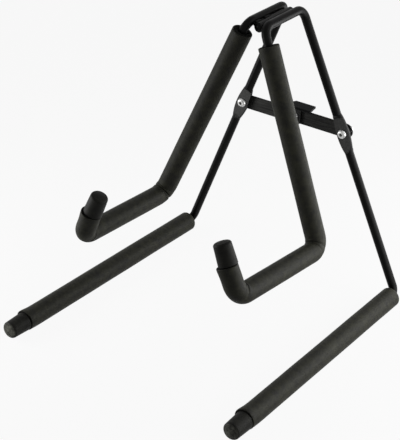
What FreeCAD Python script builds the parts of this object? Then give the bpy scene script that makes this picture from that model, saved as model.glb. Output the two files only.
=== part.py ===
# Folding stand for a ukulele: two bent steel side frames hinged along the top,
# held apart by a two-link brace, with foam sleeves and rubber caps on the rods.
#
# Frame: +X to the right, +Y to the back, +Z up, origin on the floor under the middle.
# Each side frame is one rod bent in a flat plane, with its foot turned out a little. It is made
# upright on a bench plane (X square to the plane, Y to the back, Z up along the plane) and then
# splayed outwards.
import FreeCAD, Part
import math
import os
from FreeCAD import Placement, Rotation, Vector

os.makedirs("parts", exist_ok=True)

# Overall form, in millimetres and degrees
STAND_DEPTH = 295.6          # front of the foot caps to the back of the heels
FRAME_HEIGHT = 303.3         # foot axis to top run axis, along the splayed plane
SPLAY = 22.65                # lean of each side frame away from upright
FOOT_TOE_OUT = 0.5           # turn of each foot away from its frame's plane
FLOOR_FLAT = 0.5             # how far the foot sleeves press flat on the floor

# Bent rod, places of its corners along the bench plane
ROD_D = 8.6
LEG_SETBACK = 19.6           # heel behind the rear top corner
TOP_RUN = 65.0               # front top corner to rear top corner
ARM_SETBACK = 14.6           # arm's lower corner ahead of the front top corner
ARM_LOW_HEIGHT = 90.4        # arm's lower corner above the foot axis
CRADLE_REACH = 128.8         # arm's lower corner to the cradle's front corner
CRADLE_RISE = 8.0            # front corner above the arm's lower corner
TIP_RISE = 52.7              # end of the tip cap above the cradle's front corner
TIP_LEAN = 1.7               # end of the tip cap behind the cradle's front corner

# Bend radii on the rod's centre line
HEEL_BEND = 8.0
TOP_BEND = 10.0
CRADLE_BEND = 13.0

# Pressed flat on each leg, where the brace is pinned
PIVOT_HEIGHT = 174.6         # pivot above the foot axis, along the splayed plane
FLAT_LENGTH = 40.0
FLAT_LAND = 32.0
FLAT_WIDTH = 13.6
FLAT_THICKNESS = 3.9
PRESS_START = 0.3            # the press leaves this much over the round rod at each end

# Foam sleeves and rubber caps
ARM_FOAM_D = 19.4            # stretched over the bends, so a little thinner than the feet's
FOOT_FOAM_D = 20.4
SLEEVE_FIT = 0.05            # radial room between the rod and what is pushed over it
LEFT_ARM_FOAM_STOP = 0.3     # sleeve's upper end below the top bend
RIGHT_ARM_FOAM_STOP = 8.0
FOOT_FOAM_STOP = 0.5         # sleeve's rear end ahead of the heel bend
CAP_D = 18.4                 # at the open end
CAP_NOSE_D = 17.0
CAP_LENGTH = 22.0
CAP_EDGE = 2.6
CAP_DOME = 0.9               # crown of a cap's end
CAP_END_WALL = 5.0           # rubber beyond the end of the rod

# Top hinge
FOLDED_GAP = 0.4             # between the sleeves of the two frames when folded flat
HINGE_DROP = 3.9             # hinge axis below the top runs
KNUCKLE_D = 9.6
KNUCKLE_GAP = 0.2
BARREL_INSET = 5.5           # barrel's ends inside the top run's two corners
LEAF_THICKNESS = 2.6
PIN_D = 4.4
PIN_FIT = 0.05
PIN_HEAD_D = 7.4
PIN_HEAD_HEIGHT = 1.6

# Brace links and their fasteners
LINK_WIDTH = 15.0
LINK_THICKNESS = 2.0
LINK_END = 6.4               # a link's outer end past its pivot
LINK_EDGE = 0.3              # broken edge along the links
LINK_CORNER = 3.5            # lower corner of the left link's inner end
LINK_OVERHANG = 7.6          # left link's inner end past the centre pivot
LIP_BEFORE = 7.6             # stop lip, from the centre pivot towards the left
LIP_AFTER = 17.6             # stop lip, from the centre pivot towards the right
LIP_DEPTH = 9.9              # stop lip behind the left link
LIP_TILT = 12.0
LIP_BEND = 0.8               # inside bend of the stop lip
LIP_CUT = 3.0                # cut corner of the stop lip
STOP_GAP = 0.1               # between the stop lip and the right link
SCREW_D = 5.0
SCREW_FIT = 0.05
SCREW_HEAD_D = 9.5
SCREW_HEAD_HEIGHT = 2.75
SCREW_RIM = 0.6
SCREW_CROWN_D = 5.2
SOCKET_ACROSS = 3.0
SOCKET_DEPTH = 1.6
SCREW_TAIL = 1.0             # screw past its nut
NUT_ACROSS = 8.0
NUT_HEX_HEIGHT = 3.4
NUT_COLLAR_D = 7.2
NUT_COLLAR_HEIGHT = 1.4
NUT_CHAMFER = 0.6
SPACER_D = 10.0
LEFT_SPACER_THICKNESS = 1.5
CENTRE_WASHER_THICKNESS = 0.5
SIDE_PLAY = 0.1              # running room beside each link and hinge knuckle
OPEN_GAP = 0.3               # room at the right leg's pivot, where the loop is open

ROD_R = ROD_D / 2
ARM_FOAM_R = ARM_FOAM_D / 2
FOOT_FOAM_R = FOOT_FOAM_D / 2
KNUCKLE_R = KNUCKLE_D / 2
SCREW_R = SCREW_D / 2
PIN_R = PIN_D / 2
FLAT_HALF = FLAT_THICKNESS / 2
LINK_HALF = LINK_WIDTH / 2
TILT = math.radians(SPLAY)
LEG_LEAN = math.atan2(LEG_SETBACK, FRAME_HEIGHT)

# Where each splayed plane stands: folded flat, the two frames' sleeves just clear each other
PLANE_FOLDED = (max(ARM_FOAM_D, FOOT_FOAM_D) + FOLDED_GAP) / 2
TOP_HALF = (PLANE_FOLDED - HINGE_DROP * math.sin(TILT)) / math.cos(TILT)
FOOT_HALF = TOP_HALF + FRAME_HEIGHT * math.sin(TILT)
FOOT_AXIS = FOOT_FOAM_R - FLOOR_FLAT
HINGE_HEIGHT = FOOT_AXIS + FRAME_HEIGHT * math.cos(TILT) - HINGE_DROP

X_AXIS = Vector(1, 0, 0)
Y_AXIS = Vector(0, 1, 0)
Z_AXIS = Vector(0, 0, 1)


# Bench plane: corners of the bent rod

def bench(y, up):
    return Vector(0, y, up)


def corner_setback(turn, radius):
    return radius * math.tan(turn / 2)


HEEL_Y = STAND_DEPTH / 2 - ROD_R - HEEL_BEND + corner_setback(math.pi / 2 + LEG_LEAN, HEEL_BEND)
TOP_REAR_Y = HEEL_Y - LEG_SETBACK
TOP_FRONT_Y = TOP_REAR_Y - TOP_RUN
ARM_LOW_Y = TOP_FRONT_Y - ARM_SETBACK
CRADLE_FRONT_Y = ARM_LOW_Y - CRADLE_REACH
CRADLE_FRONT_HEIGHT = ARM_LOW_HEIGHT + CRADLE_RISE

HEEL = bench(HEEL_Y, 0)
TOP_REAR = bench(TOP_REAR_Y, FRAME_HEIGHT)
TOP_FRONT = bench(TOP_FRONT_Y, FRAME_HEIGHT)
ARM_LOW = bench(ARM_LOW_Y, ARM_LOW_HEIGHT)
CRADLE_FRONT = bench(CRADLE_FRONT_Y, CRADLE_FRONT_HEIGHT)
TIP_END = bench(CRADLE_FRONT_Y + TIP_LEAN, CRADLE_FRONT_HEIGHT + TIP_RISE)

# The foot turns outwards along the floor, so its front end leaves the bench plane
FOOT_OUT = (HEEL_Y + STAND_DEPTH / 2) * math.tan(math.radians(FOOT_TOE_OUT))
FOOT_END = Vector(FOOT_OUT * math.cos(TILT), -STAND_DEPTH / 2, -FOOT_OUT * math.sin(TILT))


def leg_point(up):
    return bench(HEEL_Y - LEG_SETBACK * up / FRAME_HEIGHT, up)


PIVOT = leg_point(PIVOT_HEIGHT)


def direction(start, end):
    return (end - start).normalize()


def toward(start, end, distance):
    return start + direction(start, end) * distance


def corner(before, apex, after, radius):
    """Start, middle and end of the arc that rounds the corner at apex."""
    back = direction(apex, before)
    ahead = direction(apex, after)
    half = back.getAngle(ahead) / 2
    inward = (back + ahead).normalize()
    middle = apex + inward * (radius / math.sin(half) - radius)
    reach = radius / math.tan(half)
    return apex + back * reach, middle, apex + ahead * reach


def bent_path(points, radii):
    edges = []
    start = points[0]
    for before, apex, after, radius in zip(points, points[1:], points[2:], radii):
        arc_start, arc_middle, arc_end = corner(before, apex, after, radius)
        edges.append(Part.LineSegment(start, arc_start).toShape())
        edges.append(Part.Arc(arc_start, arc_middle, arc_end).toShape())
        start = arc_end
    edges.append(Part.LineSegment(start, points[-1]).toShape())
    return Part.Wire(edges)


def tube(points, radii, radius):
    path = bent_path(points, radii)
    circle = Part.Circle(points[0], direction(points[0], points[1]), radius)
    return path.makePipeShell([Part.Wire([circle.toShape()])], True, False)


def cylinder(start, end, radius):
    return Part.makeCylinder(radius, (end - start).Length, start, direction(start, end))


# Placing: the bench plane is splayed to the right, and mirrored for the left

def splay(shape, side):
    placed = shape.copy()
    stand = Placement(Vector(FOOT_HALF, 0, FOOT_AXIS), Rotation(Y_AXIS, -SPLAY))
    placed.Placement = stand.multiply(shape.Placement)
    return placed.mirror(Vector(0, 0, 0), X_AXIS) if side == "left" else placed


def splayed_point(point):
    return Vector(FOOT_HALF - point.z * math.sin(TILT), point.y, FOOT_AXIS + point.z * math.cos(TILT))


def along_y(shape, x, y, z):
    """Turn a piece made on +Z to point to the back, with its origin at x, y, z."""
    placed = shape.copy()
    placed.Placement = Placement(Vector(x, y, z), Rotation(Z_AXIS, Y_AXIS))
    return placed


def revolve(points):
    """Turn a profile of (radius, height) points about the Z axis; a (radius, height, 'arc') point
    is the middle of an arc from the point before it to the point after it."""
    edges = []
    place = [Vector(point[0], 0, point[1]) for point in points]
    index = 0
    while index < len(points) - 1:
        if len(points[index + 1]) == 3:
            edges.append(Part.Arc(place[index], place[index + 1], place[index + 2]).toShape())
            index += 2
        else:
            edges.append(Part.LineSegment(place[index], place[index + 1]).toShape())
            index += 1
    edges.append(Part.LineSegment(place[-1], place[0]).toShape())
    return Part.Face(Part.Wire(edges)).revolve(Vector(0, 0, 0), Z_AXIS, 360)


def crown_middle(radius, height):
    """Half-way point of a round crown's profile: its radius, and how far it lies below the top."""
    ball = (radius ** 2 + height ** 2) / (2 * height)
    half = math.asin(radius / ball) / 2
    return ball * math.sin(half), ball * (1 - math.cos(half))


def ring(outer, inner, height):
    return Part.makeCylinder(outer, height).cut(Part.makeCylinder(inner, height))


def hexagon(across, height, base):
    corner_radius = across / math.sqrt(3)
    turns = [math.radians(60 * index) for index in range(7)]
    points = [Vector(math.cos(turn), math.sin(turn), 0) * corner_radius + Z_AXIS * base for turn in turns]
    return Part.Face(Part.makePolygon(points)).extrude(Z_AXIS * height)


# Bent rod with its pressed flat

def pressed_flat():
    """The rod swells sideways where it is pressed: a spindle about the leg, cut to the press."""
    top = leg_point(PIVOT_HEIGHT + FLAT_LENGTH / 2)
    bottom = leg_point(PIVOT_HEIGHT - FLAT_LENGTH / 2)
    length = (top - bottom).Length
    spindle = revolve([
        (0, 0), (ROD_R, 0), (FLAT_WIDTH / 2, length / 2, "arc"), (ROD_R, length), (0, length),
    ])
    spindle.Placement = Placement(bottom, Rotation(Z_AXIS, direction(bottom, top)))
    open_half = ROD_R / math.cos(LEG_LEAN) + PRESS_START
    land_top = PIVOT_HEIGHT + FLAT_LAND / 2
    land_bottom = PIVOT_HEIGHT - FLAT_LAND / 2
    aside = Y_AXIS * open_half
    outline = [
        top + aside,
        bench(PIVOT.y + FLAT_HALF, land_top),
        bench(PIVOT.y + FLAT_HALF, land_bottom),
        bottom + aside,
        bottom - Z_AXIS * ROD_R + aside,
        bottom - Z_AXIS * ROD_R - aside,
        bottom - aside,
        bench(PIVOT.y - FLAT_HALF, land_bottom),
        bench(PIVOT.y - FLAT_HALF, land_top),
        top - aside,
        top + Z_AXIS * ROD_R - aside,
        top + Z_AXIS * ROD_R + aside,
    ]
    face = Part.Face(Part.makePolygon(outline + outline[:1]))
    press = face.extrude(X_AXIS * 2 * FLAT_WIDTH)
    press.translate(X_AXIS * -FLAT_WIDTH)
    return spindle.common(press)


def frame_rod():
    rod_tip = toward(TIP_END, CRADLE_FRONT, CAP_END_WALL)
    rod_foot = toward(FOOT_END, HEEL, CAP_END_WALL)
    flat_top = leg_point(PIVOT_HEIGHT + FLAT_LENGTH / 2)
    flat_bottom = leg_point(PIVOT_HEIGHT - FLAT_LENGTH / 2)
    upper = tube([rod_tip, CRADLE_FRONT, ARM_LOW, TOP_FRONT, TOP_REAR, flat_top],
                 [CRADLE_BEND, CRADLE_BEND, TOP_BEND, TOP_BEND], ROD_R)
    lower = tube([flat_bottom, HEEL, rod_foot], [HEEL_BEND], ROD_R)
    rod = upper.fuse([pressed_flat(), lower])
    hole = Part.makeCylinder(SCREW_R + SCREW_FIT, 2 * ROD_D, PIVOT - Y_AXIS * ROD_D, Y_AXIS)
    return rod.cut(hole)


# Sleeves and caps, on the bench plane

def arm_foam(stop_below_bend):
    bend_start = corner(ARM_LOW, TOP_FRONT, TOP_REAR, TOP_BEND)[0]
    top = toward(bend_start, ARM_LOW, stop_below_bend)
    tip = toward(TIP_END, CRADLE_FRONT, CAP_LENGTH)
    points = [tip, CRADLE_FRONT, ARM_LOW, top]
    radii = [CRADLE_BEND, CRADLE_BEND]
    return tube(points, radii, ARM_FOAM_R).cut(tube(points, radii, ROD_R + SLEEVE_FIT))


def foot_foam():
    bend_start = corner(FOOT_END, HEEL, TOP_REAR, HEEL_BEND)[0]
    rear = toward(bend_start, FOOT_END, FOOT_FOAM_STOP)
    front = toward(FOOT_END, HEEL, CAP_LENGTH)
    return cylinder(front, rear, FOOT_FOAM_R).cut(cylinder(front, rear, ROD_R + SLEEVE_FIT))


def press_on_floor(foam):
    """Flatten the sleeve where the stand's weight rests on it."""
    box = foam.BoundBox
    floor = Part.makeBox(box.XLength, box.YLength, FOOT_FOAM_D, Vector(box.XMin, box.YMin, -FOOT_FOAM_D))
    return foam.cut(floor)


def cap():
    """A blind, tapered rubber cap on +Z: its open face at the origin, its crowned end at its length."""
    bore = ROD_R + SLEEVE_FIT
    nose = CAP_NOSE_D / 2
    floor = CAP_LENGTH - CAP_END_WALL
    shoulder = CAP_LENGTH - CAP_DOME
    slant = CAP_EDGE * (1 - math.sqrt(0.5))
    crown_radius, crown_drop = crown_middle(nose - CAP_EDGE, CAP_DOME)
    return revolve([
        (bore, 0), (CAP_D / 2, 0), (nose, shoulder - CAP_EDGE),
        (nose - slant, shoulder - slant, "arc"), (nose - CAP_EDGE, shoulder),
        (crown_radius, CAP_LENGTH - crown_drop, "arc"), (0, CAP_LENGTH), (0, floor), (bore, floor),
    ])


def seated_cap(end, inner):
    """A cap pushed over the rod, with its crowned end at end and the rod coming from inner."""
    placed = cap()
    placed.Placement = Placement(toward(end, inner, CAP_LENGTH), Rotation(Z_AXIS, direction(inner, end)))
    return placed


# Top hinge: a knuckle welded to each run by a short web, and one headed pin

BARREL_FRONT = TOP_FRONT.y + BARREL_INSET
BARREL_REAR = TOP_REAR.y - BARREL_INSET
BARREL_MIDDLE = (BARREL_FRONT + BARREL_REAR) / 2


def hinge_leaf(front, rear, rod):
    """Knuckle and web for the right side, between two places along the barrel, shaped to its rod."""
    length = rear - front
    hinge = Vector(0, front, HINGE_HEIGHT)
    run = Vector(TOP_HALF, front, HINGE_HEIGHT + HINGE_DROP)
    web = Part.makeBox((run - hinge).Length, length, LEAF_THICKNESS, Vector(0, 0, -LEAF_THICKNESS / 2))
    web.Placement = Placement(hinge, Rotation(Y_AXIS, -math.degrees(math.atan2(HINGE_DROP, TOP_HALF))))
    leaf = Part.makeCylinder(KNUCKLE_R, length, hinge, Y_AXIS).fuse(web)
    leaf = leaf.cut(rod)
    return leaf.cut(Part.makeCylinder(PIN_R + PIN_FIT, length, hinge, Y_AXIS))


def hinge_pin():
    length = BARREL_REAR - BARREL_FRONT + SIDE_PLAY
    head = PIN_HEAD_D / 2
    front = -PIN_HEAD_HEIGHT
    back = length + PIN_HEAD_HEIGHT
    crown_radius, crown_drop = crown_middle(head, PIN_HEAD_HEIGHT)
    pin = revolve([
        (0, front), (crown_radius, front + crown_drop, "arc"), (head, 0), (PIN_R, 0), (PIN_R, length),
        (head, length), (crown_radius, back - crown_drop, "arc"), (0, back),
    ])
    return along_y(pin, 0, BARREL_FRONT, HINGE_HEIGHT)


# Brace: layers of the links behind the pressed flats, front to back

PIVOT_AT = splayed_point(PIVOT)
FLAT_FRONT = PIVOT.y - FLAT_HALF
FLAT_BACK = PIVOT.y + FLAT_HALF
LEFT_LINK_FRONT = FLAT_BACK + LEFT_SPACER_THICKNESS + SIDE_PLAY
LEFT_LINK_BACK = LEFT_LINK_FRONT + LINK_THICKNESS
LEFT_NUT_SEAT = LEFT_LINK_BACK + SIDE_PLAY
RIGHT_LINK_FRONT = LEFT_LINK_BACK + CENTRE_WASHER_THICKNESS + SIDE_PLAY
RIGHT_LINK_BACK = RIGHT_LINK_FRONT + LINK_THICKNESS
CENTRE_NUT_SEAT = RIGHT_LINK_BACK + SIDE_PLAY
NUT_HEIGHT = NUT_HEX_HEIGHT + NUT_COLLAR_HEIGHT


def pivot_hole(x):
    return Part.makeCylinder(SCREW_R + SCREW_FIT, STAND_DEPTH, Vector(x, 0, PIVOT_AT.z), Y_AXIS)


def plate(outline, front):
    """A flat plate with broken edges, from an outline in the XZ plane."""
    blank = Part.Face(Part.Wire(outline)).extrude(Y_AXIS * LINK_THICKNESS)
    blank.translate(Y_AXIS * front)
    rims = [edge for edge in blank.Edges if edge.BoundBox.YLength < LINK_EDGE]
    return blank.makeChamfer(LINK_EDGE, rims)


def line(start, end):
    return Part.LineSegment(start, end).toShape()


def arc(start, middle, end):
    return Part.Arc(start, middle, end).toShape()


def right_brace_link():
    top = PIVOT_AT.z + LINK_HALF
    bottom = PIVOT_AT.z - LINK_HALF
    end = PIVOT_AT.x + LINK_END
    straight = end - LINK_HALF
    outline = [
        line(Vector(0, 0, top), Vector(straight, 0, top)),
        arc(Vector(straight, 0, top), Vector(end, 0, PIVOT_AT.z), Vector(straight, 0, bottom)),
        line(Vector(straight, 0, bottom), Vector(0, 0, bottom)),
        arc(Vector(0, 0, bottom), Vector(-LINK_HALF, 0, PIVOT_AT.z), Vector(0, 0, top)),
    ]
    link = plate(outline, RIGHT_LINK_FRONT)
    return link.cut(pivot_hole(0)).cut(pivot_hole(PIVOT_AT.x))


def stop_lip():
    """A strip folded back off the left link's top edge, over the right link."""
    under = PIVOT_AT.z + LINK_HALF + STOP_GAP
    tilt = math.radians(LIP_TILT)
    back = Vector(0, math.cos(tilt), math.sin(tilt))
    up = Vector(0, -math.sin(tilt), math.cos(tilt))
    outer_bend = LIP_BEND + LINK_THICKNESS
    turn = math.pi / 2 - tilt
    reach = corner_setback(turn, LIP_BEND)
    inner = Vector(0, LEFT_LINK_BACK, under)
    centre = inner + Vector(0, LIP_BEND, -reach)
    bisector = Vector(0, -math.cos(turn / 2), math.sin(turn / 2))
    end = inner + back * LIP_DEPTH
    root_back = inner - Z_AXIS * LINK_HALF
    root_front = root_back - Y_AXIS * LINK_THICKNESS
    outline = [
        line(root_front, centre - Y_AXIS * outer_bend),
        arc(centre - Y_AXIS * outer_bend, centre + bisector * outer_bend, centre + up * outer_bend),
        line(centre + up * outer_bend, end + up * LINK_THICKNESS),
        line(end + up * LINK_THICKNESS, end),
        line(end, centre + up * LIP_BEND),
        arc(centre + up * LIP_BEND, centre + bisector * LIP_BEND, centre - Y_AXIS * LIP_BEND),
        line(centre - Y_AXIS * LIP_BEND, root_back),
        line(root_back, root_front),
    ]
    lip = Part.Face(Part.Wire(outline)).extrude(X_AXIS * (LIP_BEFORE + LIP_AFTER))
    lip.translate(X_AXIS * -LIP_BEFORE)
    rear = end.y + LINK_THICKNESS
    low = under - LINK_HALF
    clip = Part.makePolygon([
        Vector(-LIP_BEFORE, rear, low),
        Vector(-LIP_BEFORE, end.y - LIP_CUT, low),
        Vector(-LIP_BEFORE + LIP_CUT, end.y, low),
        Vector(-LIP_BEFORE + LIP_CUT, rear, low),
        Vector(-LIP_BEFORE, rear, low),
    ])
    lip = lip.cut(Part.Face(clip).extrude(Z_AXIS * LINK_WIDTH))
    overhang = Part.makeBox(LIP_AFTER, LIP_DEPTH, LINK_WIDTH,
                            Vector(LINK_OVERHANG, LEFT_LINK_FRONT - SIDE_PLAY, under - LINK_WIDTH))
    return lip.cut(overhang)


def left_brace_link():
    top = PIVOT_AT.z + LINK_HALF
    bottom = PIVOT_AT.z - LINK_HALF
    end = -PIVOT_AT.x - LINK_END
    straight = end + LINK_HALF
    slant = LINK_CORNER * (1 - math.sqrt(0.5))
    outline = [
        line(Vector(LINK_OVERHANG, 0, top), Vector(straight, 0, top)),
        arc(Vector(straight, 0, top), Vector(end, 0, PIVOT_AT.z), Vector(straight, 0, bottom)),
        line(Vector(straight, 0, bottom), Vector(LINK_OVERHANG - LINK_CORNER, 0, bottom)),
        arc(Vector(LINK_OVERHANG - LINK_CORNER, 0, bottom),
            Vector(LINK_OVERHANG - slant, 0, bottom + slant),
            Vector(LINK_OVERHANG, 0, bottom + LINK_CORNER)),
        line(Vector(LINK_OVERHANG, 0, bottom + LINK_CORNER), Vector(LINK_OVERHANG, 0, top)),
    ]
    link = plate(outline, LEFT_LINK_FRONT).fuse(stop_lip())
    return link.cut(pivot_hole(0)).cut(pivot_hole(-PIVOT_AT.x))


# Fasteners, made on +Z with their seat at the origin

def button_screw(shank):
    rim = SCREW_HEAD_D / 2
    crown = SCREW_CROWN_D / 2
    bulge = (rim + crown) / 2 + SCREW_RIM / 2
    shoulder = (SCREW_RIM + SCREW_HEAD_HEIGHT) / 2 + SCREW_RIM / 2
    screw = revolve([
        (0, -SCREW_HEAD_HEIGHT), (crown, -SCREW_HEAD_HEIGHT), (bulge, -shoulder, "arc"),
        (rim, -SCREW_RIM), (rim, 0), (SCREW_R, 0), (SCREW_R, shank), (0, shank),
    ])
    return screw.cut(hexagon(SOCKET_ACROSS, SOCKET_DEPTH, -SCREW_HEAD_HEIGHT))


def lock_nut(bore):
    corner_radius = NUT_ACROSS / math.sqrt(3)
    flat_radius = NUT_ACROSS / 2
    drop = NUT_CHAMFER
    turned = revolve([
        (0, 0), (flat_radius, 0), (corner_radius, drop), (corner_radius, NUT_HEX_HEIGHT - drop),
        (flat_radius, NUT_HEX_HEIGHT), (0, NUT_HEX_HEIGHT),
    ])
    collar = Part.makeCylinder(NUT_COLLAR_D / 2, NUT_HEIGHT)
    nut = hexagon(NUT_ACROSS, NUT_HEX_HEIGHT, 0).common(turned).fuse(collar)
    return nut.cut(Part.makeCylinder(bore, NUT_HEIGHT)) if bore else nut


def left_pivot_screw():
    shank = LEFT_NUT_SEAT + NUT_HEIGHT + SCREW_TAIL - FLAT_FRONT
    return along_y(button_screw(shank), -PIVOT_AT.x, FLAT_FRONT, PIVOT_AT.z)


def centre_pivot_screw():
    shank = CENTRE_NUT_SEAT + NUT_HEIGHT + SCREW_TAIL - LEFT_LINK_FRONT
    return along_y(button_screw(shank), 0, LEFT_LINK_FRONT, PIVOT_AT.z)


def right_pivot_screw():
    """The leg's half of the right pivot: its shank ends flush with the back of the pressed flat."""
    return along_y(button_screw(FLAT_BACK - FLAT_FRONT), PIVOT_AT.x, FLAT_FRONT, PIVOT_AT.z)


def right_pivot_nut():
    """The link's half of the right pivot: the lock nut with the end of the shank in it."""
    start = FLAT_BACK + OPEN_GAP
    nut = along_y(lock_nut(0), PIVOT_AT.x, RIGHT_LINK_BACK, PIVOT_AT.z)
    shank = RIGHT_LINK_BACK + NUT_HEIGHT + SCREW_TAIL - start
    return nut.fuse(Part.makeCylinder(SCREW_R, shank, Vector(PIVOT_AT.x, start, PIVOT_AT.z), Y_AXIS))


def right_pivot_spacer():
    start = FLAT_BACK + OPEN_GAP
    spacer = ring(SPACER_D / 2, SCREW_R + SCREW_FIT, RIGHT_LINK_FRONT - start)
    return along_y(spacer, PIVOT_AT.x, start, PIVOT_AT.z)


def seated_nut(x, seat):
    return along_y(lock_nut(SCREW_R + SCREW_FIT), x, seat, PIVOT_AT.z)


def seated_washer(x, seat, thickness):
    return along_y(ring(SPACER_D / 2, SCREW_R + SCREW_FIT, thickness), x, seat, PIVOT_AT.z)


# Assembly: every piece under its own name

def assembly():
    pieces = {}
    arm_foam_stops = {"left": LEFT_ARM_FOAM_STOP, "right": RIGHT_ARM_FOAM_STOP}
    rod = frame_rod()
    for side, stop in arm_foam_stops.items():
        pieces[side + "_frame_rod"] = splay(rod, side)
        pieces[side + "_arm_foam"] = splay(arm_foam(stop), side)
        pieces[side + "_foot_foam"] = press_on_floor(splay(foot_foam(), side))
        pieces[side + "_tip_cap"] = splay(seated_cap(TIP_END, CRADLE_FRONT), side)
        pieces[side + "_foot_cap"] = splay(seated_cap(FOOT_END, HEEL), side)
    right_rod = pieces["right_frame_rod"]
    front_leaf = hinge_leaf(BARREL_FRONT, BARREL_MIDDLE - KNUCKLE_GAP / 2, right_rod)
    pieces["left_hinge_leaf"] = front_leaf.mirror(Vector(0, 0, 0), X_AXIS)
    pieces["right_hinge_leaf"] = hinge_leaf(BARREL_MIDDLE + KNUCKLE_GAP / 2, BARREL_REAR, right_rod)
    pieces["hinge_pin"] = hinge_pin()
    pieces["left_brace_link"] = left_brace_link()
    pieces["right_brace_link"] = right_brace_link()
    pieces["left_pivot_screw"] = left_pivot_screw()
    pieces["centre_pivot_screw"] = centre_pivot_screw()
    pieces["right_pivot_screw"] = right_pivot_screw()
    pieces["left_pivot_nut"] = seated_nut(-PIVOT_AT.x, LEFT_NUT_SEAT)
    pieces["centre_pivot_nut"] = seated_nut(0, CENTRE_NUT_SEAT)
    pieces["right_pivot_nut"] = right_pivot_nut()
    pieces["left_pivot_spacer"] = seated_washer(-PIVOT_AT.x, FLAT_BACK, LEFT_SPACER_THICKNESS)
    pieces["centre_pivot_washer"] = seated_washer(0, LEFT_LINK_BACK, CENTRE_WASHER_THICKNESS)
    pieces["right_pivot_spacer"] = right_pivot_spacer()
    return pieces


for name, shape in assembly().items():
    shape.exportStep("parts/" + name + ".step")
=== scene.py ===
import math

import bmesh
import bpy
from mathutils import Matrix, Vector, noise


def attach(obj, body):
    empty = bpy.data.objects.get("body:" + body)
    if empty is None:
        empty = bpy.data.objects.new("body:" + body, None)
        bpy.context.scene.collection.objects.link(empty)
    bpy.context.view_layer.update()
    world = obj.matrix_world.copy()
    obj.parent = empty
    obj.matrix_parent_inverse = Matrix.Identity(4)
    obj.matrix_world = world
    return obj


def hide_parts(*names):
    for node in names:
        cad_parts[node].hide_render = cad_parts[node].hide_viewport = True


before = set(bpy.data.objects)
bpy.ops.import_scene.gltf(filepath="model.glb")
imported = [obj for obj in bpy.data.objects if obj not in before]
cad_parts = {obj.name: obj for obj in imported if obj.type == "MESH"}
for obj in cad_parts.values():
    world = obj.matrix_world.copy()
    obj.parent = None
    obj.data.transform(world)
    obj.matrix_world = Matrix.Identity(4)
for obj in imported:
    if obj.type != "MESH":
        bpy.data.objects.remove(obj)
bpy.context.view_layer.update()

MM = 0.001

# Side frame, as in the solids: a flat plane that leans in towards the hinge, its foot turned out
SPLAY = math.radians(22.65)
FOOT_HALF = 126.443 * MM
FOOT_AXIS = 9.7 * MM
FOOT_TOE_OUT = math.radians(0.5)
ARM_SKIN_R = 9.9 * MM
FOOT_SKIN_R = 10.2 * MM
ROD_R = 4.3 * MM
SLEEVE_FIT = 0.05 * MM

# Corners of the rod on that plane: (towards the back, up from the foot's axis)
TIP_SLEEVE_END = Vector((-82.976, 129.111)) * MM
CRADLE_FRONT = Vector((-83.967, 98.4)) * MM
ARM_LOW = Vector((44.834, 90.4)) * MM
TOP_FRONT = Vector((59.434, 303.3)) * MM
HEEL_Y = 144.034 * MM
FOOT_SLEEVE = (-125.8 * MM, 135.0 * MM)
CRADLE_BEND = 13.0 * MM
TOP_BEND_REACH = 9.338 * MM
ARM_FOAM_STOP = {"left": 0.3 * MM, "right": 8.0 * MM}

# Hinge and outer brace pivots
HINGE_Z = 285.708 * MM
TOP_RUN_X = 9.642 * MM
TOP_RUN_Z = 289.608 * MM
PIVOT_X = 59.204 * MM
PIVOT_Y = 137.3 * MM
PIVOT_Z = 170.834 * MM

# Sleeve surface
SIDES = 72
RUN_STEP = 2.5 * MM
BEND_STEP = 0.4 * MM
SLEEVE_EDGE = 0.7 * MM       # rounding of a sleeve's two ends
EDGE_STEPS = 3
DENT = 0.2 * MM
DENT_AROUND = 1.3
DENT_ALONG = 26.0
DENT_SEEDS = {"left": 7.0, "right": 21.0}
FOOT_SEED_STEP = 7.0
TIP_PUSH = 0.7 * MM          # sleeve's skin ahead of the rod at the tip
PUSH_FADE = 38.0 * MM
ARM_SWELL = 0.2 * MM         # an arm sleeve is thicker at its top
END_DISH = 0.2 * MM          # a rear end is sunk half-way to the rod
END_DISH_DEEP = 0.5 * MM     # and deeper at the rod
CAP_GAP = 0.9 * MM           # groove between a cap and its sleeve's skin
GROOVE_R = 7.6 * MM          # foam at the bottom of that groove
GROOVE_CLEAR = 0.1 * MM      # from that foam to the cap
GROOVE_ROOT = 0.2 * MM       # where that foam leaves the sleeve's end
RIM_RISE = 1.1 * MM          # a sleeve's rim stands up beside its cap on one side
RIM_SINK = 0.5 * MM          # and sinks on the other
RIM_FADE = 8.0 * MM
TIP_RIM_TURN = {"left": 2.2, "right": -2.2}
FOOT_RIM_TURN = {"left": 0.5, "right": -0.36}

# Creases at a sleeve's bends: (share of the bend, depth, half width, turn round the sleeve)
CREASES = {
    "left": {
        "front": [(0.58, 1.2 * MM, 1.2 * MM, -0.5), (0.34, 0.5 * MM, 1.2 * MM, 0.1)],
        "rear": [(0.46, 2.0 * MM, 1.3 * MM, -0.3), (0.78, 0.5 * MM, 1.2 * MM, -0.2)],
    },
    "right": {
        "front": [(0.62, 1.1 * MM, 1.7 * MM, 0.2), (0.38, 0.5 * MM, 1.4 * MM, 0.0)],
        "rear": [(0.52, 1.2 * MM, 2.2 * MM, 0.1), (0.26, 0.5 * MM, 1.4 * MM, 0.1)],
    },
}
CREASE_FACING = 1.6          # how soon a crease fades round the sleeve
CREASE_SHOULDER = 0.12       # foam pushed up beside a crease, as a share of its depth
CREASE_SHOULDER_AT = 1.9     # and how far from its middle, in half widths

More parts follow.
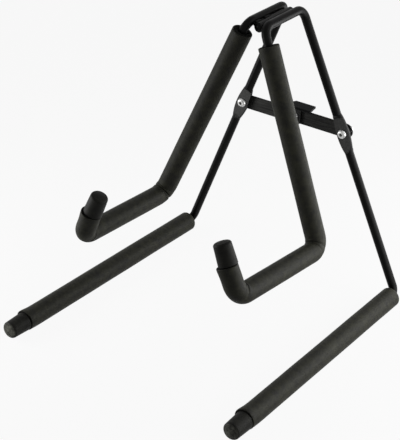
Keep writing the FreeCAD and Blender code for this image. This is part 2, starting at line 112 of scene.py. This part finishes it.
# Stitch welds between each hinge knuckle and its rod: (from, to) along the hinge
BEADS = {
    "left": [(66.0 * MM, 74.5 * MM), (80.5 * MM, 89.0 * MM)],
    "right": [(95.0 * MM, 103.5 * MM), (109.5 * MM, 118.0 * MM)],
}
BEAD_R = 1.4 * MM
BEAD_REACH = 5.46 * MM       # from the hinge axis towards the rod
BEAD_RISE = 1.63 * MM        # above and below the web
BEAD_RIPPLE = 1.5 * MM
BEAD_RIPPLE_DEPTH = 0.1      # as a share of the radius
BEAD_RINGS = 6               # rings to a ripple
BEAD_SIDES = 20
BEAD_BLUNT = 6               # power that shapes a stitch's ends
BEAD_END = 0.02              # least square of the taper, at the very end
BEAD_WANDER = 0.15 * MM
BEAD_WANDER_ALONG = 300.0
BEAD_WANDER_UP = 100.0

# Finishes. Grain: noise cells to a metre
FOAM_PORES = 1300.0
FOAM_GRAIN = 620.0
FOAM_MOTTLE = 150.0
CUT_CELLS = 1600.0
RUBBER_BLOOM = 110.0
RUBBER_GRAIN = 900.0
RUBBER_NOSE_LIGHT_GRAIN = 260.0
PAINT_PEEL = 420.0
PAINT_PATCH = 60.0
PAINT_SPECKLE = 900.0
LINK_GRAIN = 900.0
LINK_STRETCH = (0.05, 1.0, 1.0)
LINK_PATCH = 80.0
ZINC_GRAIN = 1500.0
ZINC_PATCH = 380.0
NYLON_GRAIN = 1100.0
NOISE_SPAN = (0.3, 0.7)      # where most of a noise's values lie

# Tones at the dark and the light end of a noise: (noise, reflectance, warmth)
FOAM_TONES = ((0.30, 0.011, 0.1), (0.70, 0.028, 0.3))
# Painted shade in the foam's pores, as a factor on its tone
FOAM_PIT_SHADE = ((0.10, 0.45, 0.0), (0.32, 1.0, 0.0))
# Cut ends and cap grooves: open cells with painted shade, near-black
CUT_CELL_AND_SHADE_TONES = ((0.1, 0.002, 0.0), (0.5, 0.009, 0.1))
RUBBER_TONES = ((0.35, 0.009, 0.1), (0.7, 0.018, 0.15))
# Painted light on the front faces of the foot caps
NOSE_LIGHT_TONES = ((0.35, 0.03, 0.12), (0.65, 0.15, 0.15))
PAINT_TONES = ((0.35, 0.002, 0.0), (0.7, 0.005, 0.1))
# Painted reflection on the pressed lands about the outer pivots
LAND_REFLECTION_TONES = ((0.3, 0.06, 0.03), (0.7, 0.09, 0.03))
RUBBED_TONES = ((0.45, 0.06, 0.0), (0.75, 0.24, 0.0))
LINK_TONES = ((0.35, 0.018, 0.0), (0.68, 0.052, 0.06))
# Painted shade on the links' edges and bent lip
LINK_EDGE_SHADE_TONE = 0.003
ZINC_TONES = ((0.3, 0.42, 0.01), (0.7, 0.55, 0.02))
# Painted shade inside the screw sockets
SOCKET_SHADE_TONES = ((0.3, 0.1, 0.0), (0.7, 0.2, 0.1))
NYLON_TONES = ((0.3, 0.024, 0.0), (0.7, 0.034, 0.0))

# Gloss, the span of roughness, and bumps as (strength, depth)
FOAM_GLOSS = 0.085
FOAM_ROUGHNESS = (0.5, 0.62)
FOAM_GRAIN_BUMP = (0.25, 0.4 * MM)
FOAM_PORE_BUMP = (0.18, 0.25 * MM)
CUT_GLOSS = 0.03
CUT_ROUGHNESS = 0.8
CUT_BUMP = (0.5, 0.3 * MM)
RUBBER_GLOSS = 0.06
RUBBER_ROUGHNESS = (0.46, 0.58)
RUBBER_BUMP = (0.12, 0.12 * MM)
PAINT_GLOSS = 0.055
PAINT_ROUGHNESS = (0.32, 0.42)
PAINT_BUMP = (0.12, 0.15 * MM)
LINK_GLOSS = 0.06
LINK_ROUGHNESS = (0.34, 0.46)
LINK_BUMP = (0.2, 0.08 * MM)
ZINC_ROUGHNESS = (0.22, 0.36)
ZINC_BUMP = (0.1, 0.05 * MM)
NYLON_GLOSS = 0.2
NYLON_ROUGHNESS = (0.42, 0.55)
NYLON_BUMP = (0.1, 0.08 * MM)

# Where finishes change: (from, to) of a distance, a height or a normal's share along the depth
LAND_REACH = (18.0 * MM, 20.0 * MM)
LAND_FACING = (0.9, 0.98)
RUB_REACH = (5.0 * MM, 6.2 * MM)
RUB_SHARE = 0.5
STRIP_FACING = (0.85, 0.97)
NOSE_HEIGHT = (25.0 * MM, 30.0 * MM)
NOSE_FACING = (-0.55, -0.95)
SOCKET_REACH = (1.5 * MM, 1.7 * MM)

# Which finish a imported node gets, by the end of its name; the rest are painted
NODE_KINDS = (
    ("_foam", "foam"), ("_cap", "rubber"), ("_screw", "zinc"), ("_nut", "zinc"),
    ("_spacer", "nylon"), ("_washer", "nylon"), ("_link", "link"),
)

# A Mix node's sockets for colours
MIX_FACTOR, MIX_FIRST, MIX_SECOND, MIX_RESULT = 0, 6, 7, 2

# Floor and light
WHITE = (1.0, 1.0, 1.0, 1.0)
FLOOR_HALF = 40.0
FLOOR_DROP = 0.2 * MM
FLOOR_WHITE = 0.5
FLOOR_GLOW = 0.93            # share of the floor that is seen as plain white
AMBIENT = 0.005
LIGHT_AIM = Vector((0.0, 0.0, 0.12))

# Softboxes: (name, place, width and height, watts)
SOFTBOXES = [
    ("left_softbox", (-0.43, -0.25, 0.16), (0.3, 0.3), 2.0),
    ("right_softbox", (0.49, 0.11, 0.16), (0.3, 0.3), 1.3),
    ("rear_softbox", (0.32, 0.38, 0.16), (0.5, 0.3), 2.1),
    ("front_softbox", (0.2, -0.55, 0.12), (0.22, 0.22), 0.1),
    ("top_softbox", (0.31, 0.18, 0.48), (0.3, 0.3), 0.4),
]

# Camera: the photograph is 400 by 440 pixels
PHOTO_HEIGHT = 440
FOCAL_PIXELS = 1454.15
SENSOR = 36.0
VIEW_AZIMUTH = math.radians(35.5)
VIEW_ELEVATION = math.radians(28.64)
VIEW_ROLL = math.radians(1.56)
VIEW_DISTANCE = 1358.0 * MM
VIEW_TARGET = Vector((-0.29, -19.07, 119.57)) * MM


# Sleeves: stations along the rod, with rings of points around them

def heading_of(vector):
    return math.atan2(vector.y, vector.x)


def along(heading):
    return Vector((math.cos(heading), math.sin(heading)))


def inside(heading):
    """Towards the inner side of the arm's bends, which all turn the same way."""
    return Vector((-math.sin(heading), math.cos(heading)))


def run_stations(start, end, step):
    length = (end - start).length
    count = max(1, round(length / step))
    heading = heading_of(end - start)
    return [(length * k / count, start.lerp(end, k / count), heading) for k in range(count)], length


def bend_stations(start, heading, turn, radius, step):
    length = radius * turn
    count = max(1, round(length / step))
    centre = start + inside(heading) * radius
    made = []
    for k in range(count):
        now = heading + turn * k / count
        made.append((length * k / count, centre - inside(now) * radius, now))
    return made, length


def stations(points, radius):
    """(distance, place, heading) along a route with rounded corners, and each bend's span."""
    made, spans, gone = [], [], 0.0
    start = points[0]
    for before, apex, after in zip(points, points[1:], points[2:]):
        heading = heading_of(apex - before)
        turn = heading_of(after - apex) - heading
        bend_start = apex - along(heading) * radius * math.tan(turn / 2)
        run, length = run_stations(start, bend_start, RUN_STEP)
        made += [(gone + distance, place, way) for distance, place, way in run]
        gone += length
        bend, length = bend_stations(bend_start, heading, turn, radius, BEND_STEP)
        made += [(gone + distance, place, way) for distance, place, way in bend]
        spans.append((gone, length))
        gone += length
        start = apex + along(heading + turn) * radius * math.tan(turn / 2)
    run, length = run_stations(start, points[-1], RUN_STEP)
    made += [(gone + distance, place, way) for distance, place, way in run]
    made.append((gone + length, points[-1], run[-1][2]))
    return made, spans


def crease_list(spans, side):
    """Each crease as (distance, depth, half width, turn); a straight sleeve has none."""
    made = []
    for (start, length), name in zip(spans, ("front", "rear")):
        for share, depth, half_width, turn in CREASES[side][name]:
            made.append((start + share * length, depth, half_width, turn))
    return made


def crease_depth(distance, angle, creases):
    """A pinch across the inner side of a bend, with the foam pushed up beside it."""
    total = 0.0
    for place, depth, half_width, turn in creases:
        gap = abs(distance - place) / half_width
        facing = (0.5 + 0.5 * math.cos(angle - turn)) ** CREASE_FACING
        shoulder = CREASE_SHOULDER * math.exp(-((gap - CREASE_SHOULDER_AT) ** 2))
        total += depth * facing * (max(0.0, 1.0 - gap) - shoulder)
    return total


def dent_depth(distance, angle, seed):
    around = Vector((math.cos(angle), math.sin(angle), 0.0)) * DENT_AROUND
    return DENT * (0.5 + 0.5 * noise.noise(around + Vector((0.0, seed, DENT_ALONG * distance))))


def edge_rings(length):
    """Rings that round the two ends of a sleeve: (distance, how much narrower)."""
    front, rear = [], []
    for k in range(EDGE_STEPS + 1):
        turn = math.pi / 2 * (1 - k / EDGE_STEPS)
        inset = SLEEVE_EDGE * (1 - math.sin(turn))
        narrow = SLEEVE_EDGE * (1 - math.cos(turn))
        front.append((inset, narrow))
        rear.insert(0, (length - inset, narrow))
    return front, rear


def bore_rings(length, middle, skin):
    """Rings from the rear end through the bore to the groove at the cap: (distance, radius)."""
    bore = ROD_R + SLEEVE_FIT
    at_cap = GROOVE_CLEAR - CAP_GAP
    rings = [(length - END_DISH, (skin + bore) / 2), (length - END_DISH_DEEP, bore)]
    rings += [(distance, bore) for distance in reversed(middle)]
    return rings + [(at_cap, bore), (at_cap, GROOVE_R), (GROOVE_ROOT, GROOVE_R)]


def place_at(made, distance):
    """Place and heading at a distance along a route."""
    for (start, place, heading), (end, after, _) in zip(made, made[1:]):
        if distance <= end:
            return place.lerp(after, (distance - start) / (end - start)), heading
    return made[-1][1], made[-1][2]


def on_stand(place, heading, angle, radius, side, toe_out):
    """A point on a ring about the rod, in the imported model's frame and not below the floor."""
    across = place + inside(heading) * radius * math.cos(angle)
    off = radius * math.sin(angle)
    x = FOOT_HALF - across.y * math.sin(SPLAY) + off * math.cos(SPLAY)
    x += (HEEL_Y - across.x) * math.tan(toe_out)
    z = FOOT_AXIS + across.y * math.cos(SPLAY) + off * math.sin(SPLAY)
    return Vector((x if side == "right" else -x, across.x, max(z, 0.0)))


def tip_push(distance):
    """How far the skin sits ahead of the rod near a tip's cap."""
    share = min(1.0, distance / PUSH_FADE)
    return TIP_PUSH * (1 - share) ** 2 * (1 + 2 * share)


def rim_height(distance, angle, rim_turn):
    """How far the skin stands up beside a cap at the sleeve's first end."""
    facing = math.cos(angle - rim_turn)
    height = RIM_RISE if facing > 0 else RIM_SINK
    return height * facing * math.exp(-((distance / RIM_FADE) ** 2))


def sleeve(name, side, points, skin, seed, rim_turn, push=None, toe_out=0.0, swell=0.0):
    """A closed foam tube over the rod: outer skin, rounded ends and bore, with cut ends."""
    made, spans = stations(points, CRADLE_BEND)
    creases = crease_list(spans, side)
    length = made[-1][0]
    front, rear = edge_rings(length)
    middle = [at for at, _, _ in made if SLEEVE_EDGE < at < length - SLEEVE_EDGE]
    angles = [2 * math.pi * k / SIDES - math.pi for k in range(SIDES)]
    loops = []
    for distance, narrow in front + [(at, 0.0) for at in middle] + rear:
        place, heading = place_at(made, distance)
        if push:
            place = place - inside(heading) * push(distance)
        ring = []
        for angle in angles:
            depth = narrow + dent_depth(distance, angle, seed)
            depth += crease_depth(distance, angle, creases)
            height = rim_height(distance, angle, rim_turn) + swell * (distance / length) ** 2
            ring.append(on_stand(place, heading, angle, skin + height - depth, side, toe_out))
        loops.append(ring)
    outer = len(loops)
    for distance, radius in bore_rings(length, middle, skin):
        place, heading = place_at(made, distance)
        loops.append([on_stand(place, heading, angle, radius, side, toe_out) for angle in angles])
    piece = mesh_piece(name, *ring_faces(loops + loops[:1]))
    # The rear end face, its dish and the groove at the cap take the second finish, which is painted
    # shade
    rear_rows = (outer - 1, outer)
    front_rows = range(len(loops) - 3, len(loops))
    for row in (*rear_rows, *front_rows):
        for face in range(row * SIDES, (row + 1) * SIDES):
            piece.data.polygons[face].material_index = 1
    return piece


def ring_faces(loops):
    """Points and faces that join rings, each to the next; a repeated ring closes the skin."""
    sides = len(loops[0])
    closed = loops[0] is loops[-1]
    rows = len(loops) - 1 if closed else len(loops)
    points = [point for ring in loops[:rows] for point in ring]
    faces = []
    for row in range(len(loops) - 1):
        here = row * sides
        there = (row + 1) % rows * sides
        for k in range(sides):
            after = (k + 1) % sides
            faces.append((here + k, here + after, there + after, there + k))
    if not closed:
        faces.append(tuple(range(sides)))
        faces.append(tuple(range((rows - 1) * sides, rows * sides)))
    return points, faces


def mesh_piece(name, points, faces):
    """A new smooth piece with its faces turned outwards."""
    mesh = bpy.data.meshes.new(name)
    mesh.from_pydata(points, [], faces)
    work = bmesh.new()
    work.from_mesh(mesh)
    bmesh.ops.recalc_face_normals(work, faces=work.faces)
    work.to_mesh(mesh)
    work.free()
    mesh.polygons.foreach_set("use_smooth", [True] * len(mesh.polygons))
    piece = bpy.data.objects.new(name, mesh)
    bpy.context.scene.collection.objects.link(piece)
    return piece


def arm_route(side):
    up_arm = (TOP_FRONT - ARM_LOW).normalized()
    top = TOP_FRONT - up_arm * (TOP_BEND_REACH + ARM_FOAM_STOP[side])
    down_tip = (CRADLE_FRONT - TIP_SLEEVE_END).normalized()
    return [TIP_SLEEVE_END + down_tip * CAP_GAP, CRADLE_FRONT, ARM_LOW, top]


def foot_route():
    return [Vector((FOOT_SLEEVE[0] + CAP_GAP, 0.0)), Vector((FOOT_SLEEVE[1], 0.0))]


def make_sleeves(skin_finish, cut_and_shade_finish):
    for side, seed in DENT_SEEDS.items():
        arm = sleeve(f"{side}_arm_sleeve", side, arm_route(side), ARM_SKIN_R, seed,
                     TIP_RIM_TURN[side], push=tip_push, swell=ARM_SWELL)
        foot = sleeve(f"{side}_foot_sleeve", side, foot_route(), FOOT_SKIN_R,
                      seed + FOOT_SEED_STEP, FOOT_RIM_TURN[side], toe_out=FOOT_TOE_OUT)
        for piece, node in ((arm, f"{side}_arm_foam"), (foot, f"{side}_foot_foam")):
            piece.data.materials.append(skin_finish)
            piece.data.materials.append(cut_and_shade_finish)
            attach(piece, f"{side}_frame")
            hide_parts(node)


# Weld beads in the grooves between the hinge knuckles and the rods

def bead(start, end, centre_x, centre_z):
    """Points and faces of one rippled stitch of weld along the hinge."""
    middle = (start + end) / 2
    half = (end - start) / 2
    count = round((end - start) / (BEAD_RIPPLE / BEAD_RINGS))
    loops = []
    for k in range(count + 1):
        y = start + (end - start) * k / count
        taper = math.sqrt(max(BEAD_END, 1 - abs((y - middle) / half) ** BEAD_BLUNT))
        swing = abs(math.sin(math.pi * (y - start) / BEAD_RIPPLE))
        ripple = 1 - BEAD_RIPPLE_DEPTH + BEAD_RIPPLE_DEPTH * swing
        spot = Vector((0.0, y * BEAD_WANDER_ALONG, centre_z * BEAD_WANDER_UP))
        wander = BEAD_WANDER * noise.noise(spot)
        radius = BEAD_R * taper * ripple
        ring = []
        for turn in (2 * math.pi * n / BEAD_SIDES for n in range(BEAD_SIDES)):
            x = centre_x + wander + radius * math.cos(turn)
            ring.append(Vector((x, y, centre_z + radius * math.sin(turn))))
        loops.append(ring)
    return ring_faces(loops)


def make_welds(finish):
    to_run = Vector((TOP_RUN_X, TOP_RUN_Z - HINGE_Z)).normalized()
    for side, stitches in BEADS.items():
        points, faces = [], []
        for rise in (BEAD_RISE, -BEAD_RISE):
            x = to_run.x * BEAD_REACH - to_run.y * rise
            z = HINGE_Z + to_run.y * BEAD_REACH + to_run.x * rise
            for start, end in stitches:
                more_points, more_faces = bead(start, end, x if side == "right" else -x, z)
                faces += [tuple(corner + len(points) for corner in face) for face in more_faces]
                points += more_points
        piece = mesh_piece(f"{side}_hinge_weld", points, faces)
        piece.data.materials.append(finish)
        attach(piece, f"{side}_frame")


# Shader nodes

def principled(name, **sockets):
    """A new material: its node tree and its shader, with fixed socket values."""
    material = bpy.data.materials.new(name)
    material.use_nodes = True
    tree = material.node_tree
    shader = tree.nodes["Principled BSDF"]
    for socket, value in sockets.items():
        shader.inputs[socket.replace("_", " ")].default_value = value
    return material, tree, shader


def join(tree, shader, **sources):
    """Links to the shader's inputs, which are named as for principled."""
    for socket, source in sources.items():
        tree.links.new(source, shader.inputs[socket.replace("_", " ")])


def add(tree, kind, inputs=None, **settings):
    """A new node, with inputs that are fixed values or other nodes' outputs."""
    made = tree.nodes.new(kind)
    for name, value in settings.items():
        setattr(made, name, value)
    for name, value in (inputs or {}).items():
        if isinstance(value, bpy.types.NodeSocket):
            tree.links.new(value, made.inputs[name])
        else:
            made.inputs[name].default_value = value
    return made


def object_place(tree):
    return add(tree, "ShaderNodeTexCoord").outputs["Object"]


def object_normal(tree):
    return add(tree, "ShaderNodeTexCoord").outputs["Normal"]


def parts_of(tree, vector):
    return add(tree, "ShaderNodeSeparateXYZ", {0: vector}).outputs


def math_of(tree, operation, *values):
    return add(tree, "ShaderNodeMath", dict(enumerate(values)), operation=operation).outputs[0]


def between(tree, value, start, end, low, high):
    """Goes from low to high while a value goes from start to end."""
    inputs = {"Value": value, "From Min": start, "From Max": end, "To Min": low, "To Max": high}
    return add(tree, "ShaderNodeMapRange", inputs).outputs["Result"]


def spread(tree, factor, low, high):
    return between(tree, factor, *NOISE_SPAN, low, high)


def noise_at(tree, place, scale, detail=3.0, rough=0.55):
    inputs = {"Vector": place, "Scale": scale, "Detail": detail, "Roughness": rough}
    return add(tree, "ShaderNodeTexNoise", inputs).outputs["Fac"]


def cells_at(tree, place, scale):
    return add(tree, "ShaderNodeTexVoronoi", {"Vector": place, "Scale": scale}).outputs["Distance"]


def grey(value, warm=0.0):
    return (value, value, value * (1 - warm), 1.0)


def tone_of(tree, factor, dark, light):
    """A tone that goes with a noise from a dark to a light end."""
    made = add(tree, "ShaderNodeValToRGB", {"Fac": factor})
    for index, (position, value, warm) in enumerate((dark, light)):
        made.color_ramp.elements[index].position = position
        made.color_ramp.elements[index].color = grey(value, warm)
    return made.outputs["Color"]


def mixed(tree, factor, first, second, blend="MIX"):
    inputs = {MIX_FACTOR: factor, MIX_FIRST: first, MIX_SECOND: second}
    made = add(tree, "ShaderNodeMix", inputs, data_type="RGBA", blend_type=blend)
    return made.outputs[MIX_RESULT]


def bump(tree, height, strength, depth, under=None):
    inputs = {"Height": height, "Strength": strength, "Distance": depth}
    if under is not None:
        inputs["Normal"] = under
    return add(tree, "ShaderNodeBump", inputs).outputs["Normal"]


# Worn places, and places where light and shade are painted

def pivot_wear_and_reflection(tree):
    """Where the legs are pressed flat about the outer pivots, which are painted lighter as painted
    reflection, and where the screws rub.
    """
    place = parts_of(tree, object_place(tree))
    forward = math_of(tree, "ABSOLUTE", parts_of(tree, object_normal(tree))[1])
    flat = between(tree, forward, *LAND_FACING, 0.0, 1.0)
    beside = math_of(tree, "ABSOLUTE", place[0])
    aside = add(tree, "ShaderNodeCombineXYZ", {0: beside, 2: place[2]}).outputs[0]
    ends = {0: aside, 1: (PIVOT_X, 0.0, PIVOT_Z)}
    away = add(tree, "ShaderNodeVectorMath", ends, operation="DISTANCE").outputs["Value"]
    lit_land = math_of(tree, "MULTIPLY", flat, between(tree, away, *LAND_REACH, 1.0, 0.0))
    rub = math_of(tree, "MULTIPLY", flat, between(tree, away, *RUB_REACH, RUB_SHARE, 0.0))
    return lit_land, rub


def nose_light_mask(tree):
    """The front faces of the two caps at the floor, painted lighter: painted light on the feet's
    noses.
    """
    low = between(tree, parts_of(tree, object_place(tree))[2], *NOSE_HEIGHT, 1.0, 0.0)
    front = between(tree, parts_of(tree, object_normal(tree))[1], *NOSE_FACING, 0.0, 1.0)
    return math_of(tree, "MULTIPLY", low, front)


def socket_inside(tree):
    """The inside of the screws' sockets, about the three pivots and in front of the links, where
    shade is painted in.
    """
    place = parts_of(tree, object_place(tree))
    beside = math_of(tree, "ABSOLUTE", place[0])
    outer = math_of(tree, "ABSOLUTE", math_of(tree, "SUBTRACT", beside, PIVOT_X))
    across = math_of(tree, "MINIMUM", beside, outer)
    up = math_of(tree, "ABSOLUTE", math_of(tree, "SUBTRACT", place[2], PIVOT_Z))
    squares = [math_of(tree, "POWER", side, 2.0) for side in (across, up)]
    away = math_of(tree, "SQRT", math_of(tree, "ADD", *squares))
    near = between(tree, away, *SOCKET_REACH, 1.0, 0.0)
    return math_of(tree, "MULTIPLY", near, math_of(tree, "LESS_THAN", place[1], PIVOT_Y))


# Finishes

def foam_finish():
    """Matte closed-cell foam: fine pores darkened with painted shade, soft mottling and a faint
    skin sheen.
    """
    material, tree, shader = principled("black_foam_skin", Specular_IOR_Level=FOAM_GLOSS)
    place = object_place(tree)
    pores = cells_at(tree, place, FOAM_PORES)
    grain = noise_at(tree, place, FOAM_GRAIN, detail=4.0, rough=0.65)
    mottle = noise_at(tree, place, FOAM_MOTTLE, detail=4.0, rough=0.6)
    tone = tone_of(tree, mottle, *FOAM_TONES)
    pit_shade = tone_of(tree, pores, *FOAM_PIT_SHADE)
    rough_skin = bump(tree, grain, *FOAM_GRAIN_BUMP)
    # The pores darken the tone: painted shade in the pits
    join(tree, shader, Base_Color=mixed(tree, 1.0, tone, pit_shade, "MULTIPLY"),
         Roughness=spread(tree, grain, *FOAM_ROUGHNESS),
         Normal=bump(tree, pores, *FOAM_PORE_BUMP, rough_skin))
    return material


def cut_foam_and_shade_finish():
    """A sleeve's cut ends and the groove at its cap: open cut cells, painted near-black as painted
    shade.
    """
    material, tree, shader = principled("black_foam_cut_and_shade", Specular_IOR_Level=CUT_GLOSS,
                                        Roughness=CUT_ROUGHNESS)
    cells = cells_at(tree, object_place(tree), CUT_CELLS)
    join(tree, shader, Base_Color=tone_of(tree, cells, *CUT_CELL_AND_SHADE_TONES),
         Normal=bump(tree, cells, *CUT_BUMP))
    return material


def rubber_finish():
    """Moulded rubber: dark, with a faint bloom, a fine mould grain and painted light on the foot
    caps' front faces.
    """
    material, tree, shader = principled("black_rubber_moulding", Specular_IOR_Level=RUBBER_GLOSS)
    place = object_place(tree)
    bloom = noise_at(tree, place, RUBBER_BLOOM)
    grain = noise_at(tree, place, RUBBER_GRAIN, detail=2.0)
    nose_light_grain = noise_at(tree, place, RUBBER_NOSE_LIGHT_GRAIN, detail=4.0, rough=0.65)
    tone = tone_of(tree, bloom, *RUBBER_TONES)
    lit_nose_tone = tone_of(tree, nose_light_grain, *NOSE_LIGHT_TONES)
    # The caps' front faces at the floor are painted lighter: painted light
    join(tree, shader, Base_Color=mixed(tree, nose_light_mask(tree), tone, lit_nose_tone),
         Roughness=spread(tree, bloom, *RUBBER_ROUGHNESS),
         Normal=bump(tree, grain, *RUBBER_BUMP))
    return material


def paint_finish():
    """Satin black paint on steel: orange peel, uneven gloss, pressed lands painted lighter as
    painted reflection, rubbed pivots.
    """
    material, tree, shader = principled("satin_black_coat", Specular_IOR_Level=PAINT_GLOSS)
    place = object_place(tree)
    peel = noise_at(tree, place, PAINT_PEEL, detail=2.0)
    patch = noise_at(tree, place, PAINT_PATCH)
    speckle = noise_at(tree, place, PAINT_SPECKLE)
    lit_land, rub = pivot_wear_and_reflection(tree)
    tone = tone_of(tree, patch, *PAINT_TONES)
    # The pressed lands are painted lighter: painted reflection
    tone = mixed(tree, lit_land, tone, tone_of(tree, speckle, *LAND_REFLECTION_TONES))
    rubbed = tone_of(tree, speckle, *RUBBED_TONES)
    join(tree, shader, Base_Color=mixed(tree, rub, tone, rubbed),
         Roughness=spread(tree, patch, *PAINT_ROUGHNESS),
         Normal=bump(tree, peel, *PAINT_BUMP))
    return material


def link_finish():
    """Satin black paint over rolled strip, whose grain shows along the links' broad faces; the
    edges and the bent lip are painted near-black as painted shade.
    """
    material, tree, shader = principled("satin_black_strip", Specular_IOR_Level=LINK_GLOSS)
    place = object_place(tree)
    stretched = add(tree, "ShaderNodeMapping", {"Vector": place, "Scale": LINK_STRETCH})
    grain = noise_at(tree, stretched.outputs["Vector"], LINK_GRAIN)
    patch = noise_at(tree, place, LINK_PATCH)
    forward = math_of(tree, "ABSOLUTE", parts_of(tree, object_normal(tree))[1])
    broad = between(tree, forward, *STRIP_FACING, 0.0, 1.0)
    tone = tone_of(tree, grain, *LINK_TONES)
    # Faces that don't face forward, the edges and the lip, are painted near-black: painted shade
    join(tree, shader, Base_Color=mixed(tree, broad, grey(LINK_EDGE_SHADE_TONE), tone),
         Roughness=spread(tree, patch, *LINK_ROUGHNESS),
         Normal=bump(tree, grain, *LINK_BUMP))
    return material


def zinc_finish():
    """Bright zinc plate: pale metal with a faint grain, duller patches and painted shade in the
    screw sockets.
    """
    material, tree, shader = principled("bright_zinc_plate", Metallic=1.0)
    place = object_place(tree)
    grain = noise_at(tree, place, ZINC_GRAIN)
    patch = noise_at(tree, place, ZINC_PATCH)
    tone = tone_of(tree, patch, *ZINC_TONES)
    socket_shade = tone_of(tree, grain, *SOCKET_SHADE_TONES)
    # The sockets' insides are painted darker: painted shade
    join(tree, shader, Base_Color=mixed(tree, socket_inside(tree), tone, socket_shade),
         Roughness=spread(tree, patch, *ZINC_ROUGHNESS),
         Normal=bump(tree, grain, *ZINC_BUMP))
    return material


def nylon_finish():
    """Plain moulded nylon washers and spacers."""
    material, tree, shader = principled("black_nylon_moulding", Specular_IOR_Level=NYLON_GLOSS)
    grain = noise_at(tree, object_place(tree), NYLON_GRAIN, detail=2.0)
    join(tree, shader, Base_Color=tone_of(tree, grain, *NYLON_TONES),
         Roughness=spread(tree, grain, *NYLON_ROUGHNESS),
         Normal=bump(tree, grain, *NYLON_BUMP))
    return material


def kind_of(name):
    for ending, kind in NODE_KINDS:
        if name.endswith(ending):
            return kind
    return "paint"


def finish_nodes(finishes):
    """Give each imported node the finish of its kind."""
    for name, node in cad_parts.items():
        node.data.materials.clear()
        node.data.materials.append(finishes[kind_of(name)])


# Floor, light and camera

def seen_ray(tree):
    """One for rays that show the background itself: camera, mirror and clear ones."""
    path = add(tree, "ShaderNodeLightPath").outputs
    first = math_of(tree, "MAXIMUM", path["Is Camera Ray"], path["Is Glossy Ray"])
    return math_of(tree, "MAXIMUM", first, path["Is Transmission Ray"])


def make_world():
    world = bpy.data.worlds.new("studio")
    world.use_nodes = True
    bpy.context.scene.world = world
    tree = world.node_tree
    tree.nodes.clear()
    ambient = add(tree, "ShaderNodeBackground", {"Color": WHITE, "Strength": AMBIENT})
    white = add(tree, "ShaderNodeBackground", {"Color": WHITE, "Strength": 1.0})
    sides = {0: seen_ray(tree), 1: ambient.outputs[0], 2: white.outputs[0]}
    mix = add(tree, "ShaderNodeMixShader", sides)
    add(tree, "ShaderNodeOutputWorld", {"Surface": mix.outputs[0]})


def floor_finish():
    material = bpy.data.materials.new("pale_floor")
    material.use_nodes = True
    tree = material.node_tree
    tree.nodes.clear()
    matte = add(tree, "ShaderNodeBsdfDiffuse", {"Color": grey(FLOOR_WHITE)})
    glow = add(tree, "ShaderNodeEmission", {"Color": WHITE, "Strength": 1.0})
    share = math_of(tree, "MULTIPLY", seen_ray(tree), FLOOR_GLOW)
    sides = {0: share, 1: matte.outputs[0], 2: glow.outputs[0]}
    mix = add(tree, "ShaderNodeMixShader", sides)
    add(tree, "ShaderNodeOutputMaterial", {"Surface": mix.outputs[0]})
    return material


def make_floor():
    corners = ((-FLOOR_HALF, -FLOOR_HALF), (FLOOR_HALF, -FLOOR_HALF),
               (FLOOR_HALF, FLOOR_HALF), (-FLOOR_HALF, FLOOR_HALF))
    mesh = bpy.data.meshes.new("floor")
    mesh.from_pydata([(x, y, -FLOOR_DROP) for x, y in corners], [], [(0, 1, 2, 3)])
    mesh.materials.append(floor_finish())
    floor = bpy.data.objects.new("floor", mesh)
    bpy.context.scene.collection.objects.link(floor)


def softbox(name, place, size, power):
    light = bpy.data.lights.new(name, "AREA")
    light.shape = "RECTANGLE"
    light.size, light.size_y = size
    light.energy = power
    lamp = bpy.data.objects.new(name, light)
    lamp.visible_camera = False
    lamp.location = place
    lamp.rotation_euler = (LIGHT_AIM - Vector(place)).to_track_quat("-Z", "Y").to_euler()
    bpy.context.scene.collection.objects.link(lamp)


def make_camera():
    level = math.cos(VIEW_ELEVATION)
    back = Vector((math.sin(VIEW_AZIMUTH) * level, -math.cos(VIEW_AZIMUTH) * level,
                   math.sin(VIEW_ELEVATION)))
    right = (-back).cross(Vector((0, 0, 1))).normalized()
    up = right.cross(-back)
    rolled_right = right * math.cos(VIEW_ROLL) + up * math.sin(VIEW_ROLL)
    rolled_up = up * math.cos(VIEW_ROLL) - right * math.sin(VIEW_ROLL)
    data = bpy.data.cameras.new("camera")
    data.sensor_width = SENSOR
    data.lens = FOCAL_PIXELS / PHOTO_HEIGHT * SENSOR
    camera = bpy.data.objects.new("camera", data)
    turn = Matrix((rolled_right, rolled_up, back)).transposed().to_4x4()
    camera.matrix_world = Matrix.Translation(VIEW_TARGET + back * VIEW_DISTANCE) @ turn
    bpy.context.scene.collection.objects.link(camera)
    bpy.context.scene.camera = camera


finishes = {
    "foam": foam_finish(),
    "cut": cut_foam_and_shade_finish(),
    "rubber": rubber_finish(),
    "paint": paint_finish(),
    "link": link_finish(),
    "zinc": zinc_finish(),
    "nylon": nylon_finish(),
}
finish_nodes(finishes)
make_sleeves(finishes["foam"], finishes["cut"])
make_welds(finishes["paint"])
make_world()
make_floor()
for box_values in SOFTBOXES:
    softbox(*box_values)
make_camera()
bpy.context.scene.view_settings.view_transform = "Standard"
